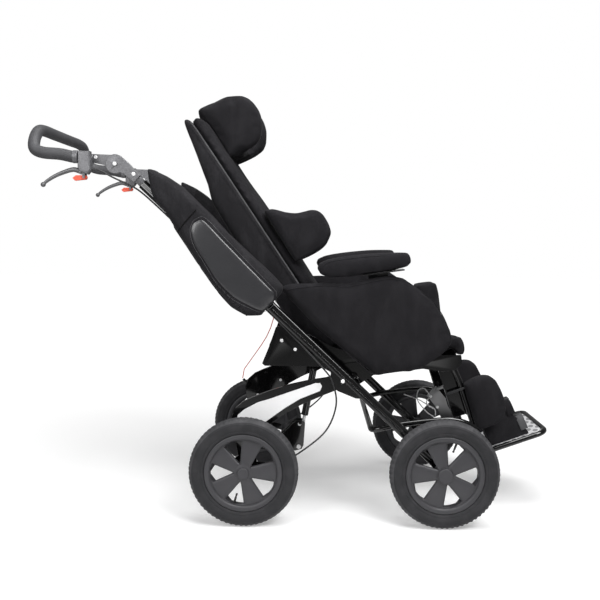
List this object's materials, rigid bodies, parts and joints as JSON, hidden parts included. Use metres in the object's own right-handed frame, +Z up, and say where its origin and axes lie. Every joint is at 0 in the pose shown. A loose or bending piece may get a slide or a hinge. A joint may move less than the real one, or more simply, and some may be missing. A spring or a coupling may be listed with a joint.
{
  "type": "tilt in space wheelchair",
  "caption": "Folding-frame tilt in space wheelchair with a reclining padded back, headrest, trunk supports, raised leg rest with foot sandals and an angle-adjustable push handle",
  "frame": {"origin": "on the floor, under the middle of the chair's box", "axes": "+X is forward, towards the footplate; +Y is the occupant's left; +Z is up"},
  "size_m": [1.514, 0.65, 1.2266],
  "materials": {
    "frame_paint": "gloss black powder coat",
    "cast_grey": "grey satin casting",
    "bright_steel": "polished rod and bolts",
    "tyre_rubber": "dull charcoal rubber",
    "wheel_plastic": "dark grey moulded plastic",
    "dark_fabric": "charcoal woven cover",
    "panel_white": "white inlay",
    "grip_foam": "dark grey foam grip",
    "cable_black": "black cable sheath",
    "signal_red": "orange red plastic",
    "tread_metal": "pressed tread plate"
  },
  "bodies": {
    "chassis": {"rail_near": "frame_paint", "rail_far": "frame_paint", "rail_cover_near": "dark_fabric", "rail_cover_far": "dark_fabric", "brake_cable_near": "cable_black", "brake_cable_far": "cable_black", "tilt_axle": "frame_paint", "front_hoop": "frame_paint", "pull_cord": "signal_red"},
    "rear_frame": {"rear_arm_near": "frame_paint", "rear_arm_far": "frame_paint", "arm_panel_near": "panel_white", "arm_panel_far": "panel_white", "rear_axle": "frame_paint"},
    "rear_wheel_near": {"rear_wheel_near_tyre": "tyre_rubber", "rear_wheel_near_rim": "wheel_plastic"},
    "rear_wheel_far": {"rear_wheel_far_tyre": "tyre_rubber", "rear_wheel_far_rim": "wheel_plastic"},
    "front_wheel_near": {"front_wheel_near_tyre": "tyre_rubber", "front_wheel_near_rim": "wheel_plastic"},
    "front_wheel_far": {"front_wheel_far_tyre": "tyre_rubber", "front_wheel_far_rim": "wheel_plastic"},
    "strut_rod": {"strut_rod": "bright_steel"},
    "strut_cylinder": {"strut_cylinder": "frame_paint"},
    "seat": {"seat_frame": "frame_paint", "seat_cushion": "dark_fabric", "pommel": "dark_fabric", "side_guard_near": "dark_fabric", "side_guard_far": "dark_fabric", "recline_axle": "bright_steel"},
    "armrest_near": {"armrest_post_near": "frame_paint", "armrest_pad_near": "dark_fabric"},
    "armrest_far": {"armrest_post_far": "frame_paint", "armrest_pad_far": "dark_fabric"},
    "back": {"back_shell": "dark_fabric", "back_cushion": "dark_fabric"},
    "headrest": {"headrest_stem": "frame_paint", "headrest_pad": "dark_fabric"},
    "trunk_support_near": {"trunk_pad_near": "dark_fabric"},
    "trunk_support_far": {"trunk_pad_far": "dark_fabric"},
    "leg_rest": {"leg_frame": "frame_paint", "leg_lock": "cast_grey", "calf_pad_near": "dark_fabric", "calf_pad_far": "dark_fabric"},
    "lower_leg": {"lower_leg": "frame_paint"},
    "footplate": {"footplate_frame": "frame_paint", "footplate_tread": "tread_metal", "foot_sandal_near": "dark_fabric", "foot_sandal_far": "dark_fabric"},
    "handle_tubes": {"handle_tube_near": "cast_grey", "handle_tube_far": "cast_grey"},
    "handle": {"handle_grip": "grip_foam", "handle_casting_near": "cast_grey", "handle_casting_far": "cast_grey"},
    "brake_lever_near": {"brake_lever_near": "cast_grey"},
    "brake_lever_far": {"brake_lever_far": "cast_grey"},
    "lock_tab_near": {"lock_tab_near": "signal_red"},
    "lock_tab_far": {"lock_tab_far": "signal_red"}
  },
  "joints": [
    {"name": "frame_fold", "type": "hinge", "parent": "chassis", "child": "rear_frame", "pos_m": [0.12953, 0, 0.40879], "axis": [0, -1, 0], "range_deg": [0, 42], "deforming": ["brake_cable_near", "brake_cable_far", "pull_cord"]},
    {"name": "rear_wheel_near_spin", "type": "hinge", "parent": "rear_frame", "child": "rear_wheel_near", "pos_m": [-0.14837, -0.3, 0.155], "axis": [0, 1, 0], "continuous": true},
    {"name": "front_wheel_near_spin", "type": "hinge", "parent": "chassis", "child": "front_wheel_near", "pos_m": [0.41663, -0.3, 0.155], "axis": [0, 1, 0], "continuous": true},
    {"name": "rear_wheel_far_spin", "type": "hinge", "parent": "rear_frame", "child": "rear_wheel_far", "pos_m": [-0.14837, 0.3, 0.155], "axis": [0, 1, 0], "continuous": true},
    {"name": "front_wheel_far_spin", "type": "hinge", "parent": "chassis", "child": "front_wheel_far", "pos_m": [0.41663, 0.3, 0.155], "axis": [0, 1, 0], "continuous": true},
    {"name": "seat_tilt", "type": "hinge", "parent": "chassis", "child": "seat", "pos_m": [0.16581, 0, 0.4021], "axis": [0, -1, 0], "range_deg": [-8, 27]},
    {"name": "strut_swing", "type": "hinge", "parent": "rear_frame", "child": "strut_rod", "pos_m": [0.00263, 0, 0.151], "axis": [0, 1, 0], "range_deg": [-4, 9]},
    {"name": "strut_travel", "type": "slide", "parent": "strut_rod", "child": "strut_cylinder", "axis": [0.1783, 0, 0.984], "range_m": [-0.06, 0.02]},
    {"name": "back_recline", "type": "hinge", "parent": "seat", "child": "back", "pos_m": [0.0972, 0, 0.45204], "axis": [0, -1, 0], "range_deg": [-12, 20]},
    {"name": "headrest_height", "type": "slide", "parent": "back", "child": "headrest", "axis": [-0.5577, 0, 0.83], "range_m": [0, 0.07]},
    {"name": "trunk_support_near_height", "type": "slide", "parent": "back", "child": "trunk_support_near", "axis": [-0.5577, 0, 0.83], "range_m": [-0.03, 0.03]},
    {"name": "armrest_near_height", "type": "slide", "parent": "seat", "child": "armrest_near", "axis": [-0.1392, 0, 0.9903], "range_m": [0, 0.06]},
    {"name": "trunk_support_far_height", "type": "slide", "parent": "back", "child": "trunk_support_far", "axis": [-0.5577, 0, 0.83], "range_m": [-0.03, 0.03]},
    {"name": "armrest_far_height", "type": "slide", "parent": "seat", "child": "armrest_far", "axis": [-0.1392, 0, 0.9903], "range_m": [0, 0.06]},
    {"name": "leg_rest_lift", "type": "hinge", "parent": "seat", "child": "leg_rest", "pos_m": [0.45768, 0, 0.45221], "axis": [0, -1, 0], "range_deg": [-10, 55]},
    {"name": "leg_length", "type": "slide", "parent": "leg_rest", "child": "lower_leg", "axis": [0.319, 0, -0.9478], "range_m": [-0.02, 0.06]},
    {"name": "footplate_fold", "type": "hinge", "parent": "lower_leg", "child": "footplate", "pos_m": [0.55562, 0, 0.16863], "axis": [0, -1, 0], "range_deg": [-15, 25]},
    {"name": "handle_height", "type": "slide", "parent": "chassis", "child": "handle_tubes", "axis": [-0.7281, 0, 0.6854], "range_m": [0, 0.08], "deforming": ["brake_cable_near", "brake_cable_far"]},
    {"name": "handle_angle", "type": "hinge", "parent": "handle_tubes", "child": "handle", "pos_m": [-0.51268, 0, 1.01334], "axis": [0, -1, 0], "range_deg": [-50, 45], "deforming": ["brake_cable_near", "brake_cable_far"]},
    {"name": "brake_lever_near_squeeze", "type": "hinge", "parent": "handle", "child": "brake_lever_near", "pos_m": [-0.60268, -0.275, 0.99034], "axis": [0, 1, 0], "range_deg": [0, 22], "stiffness_Nm_per_rad": 1.5, "springref_deg": -14.32},
    {"name": "lock_tab_near_press", "type": "hinge", "parent": "handle", "child": "lock_tab_near", "pos_m": [-0.59368, -0.275, 0.97434], "axis": [0, -1, 0], "range_deg": [0, 20]},
    {"name": "brake_lever_far_squeeze", "type": "hinge", "parent": "handle", "child": "brake_lever_far", "pos_m": [-0.60268, 0.275, 0.99034], "axis": [0, 1, 0], "range_deg": [0, 22], "stiffness_Nm_per_rad": 1.5, "springref_deg": -14.32},
    {"name": "lock_tab_far_press", "type": "hinge", "parent": "handle", "child": "lock_tab_far", "pos_m": [-0.59368, 0.275, 0.97434], "axis": [0, -1, 0], "range_deg": [0, 20]}
  ],
  "couplings": [
    {"joint": "strut_swing", "follows": "seat_tilt", "ratio": 0.1782},
    {"joint": "strut_travel", "follows": "seat_tilt", "m_per_rad": -0.10856}
  ]
}
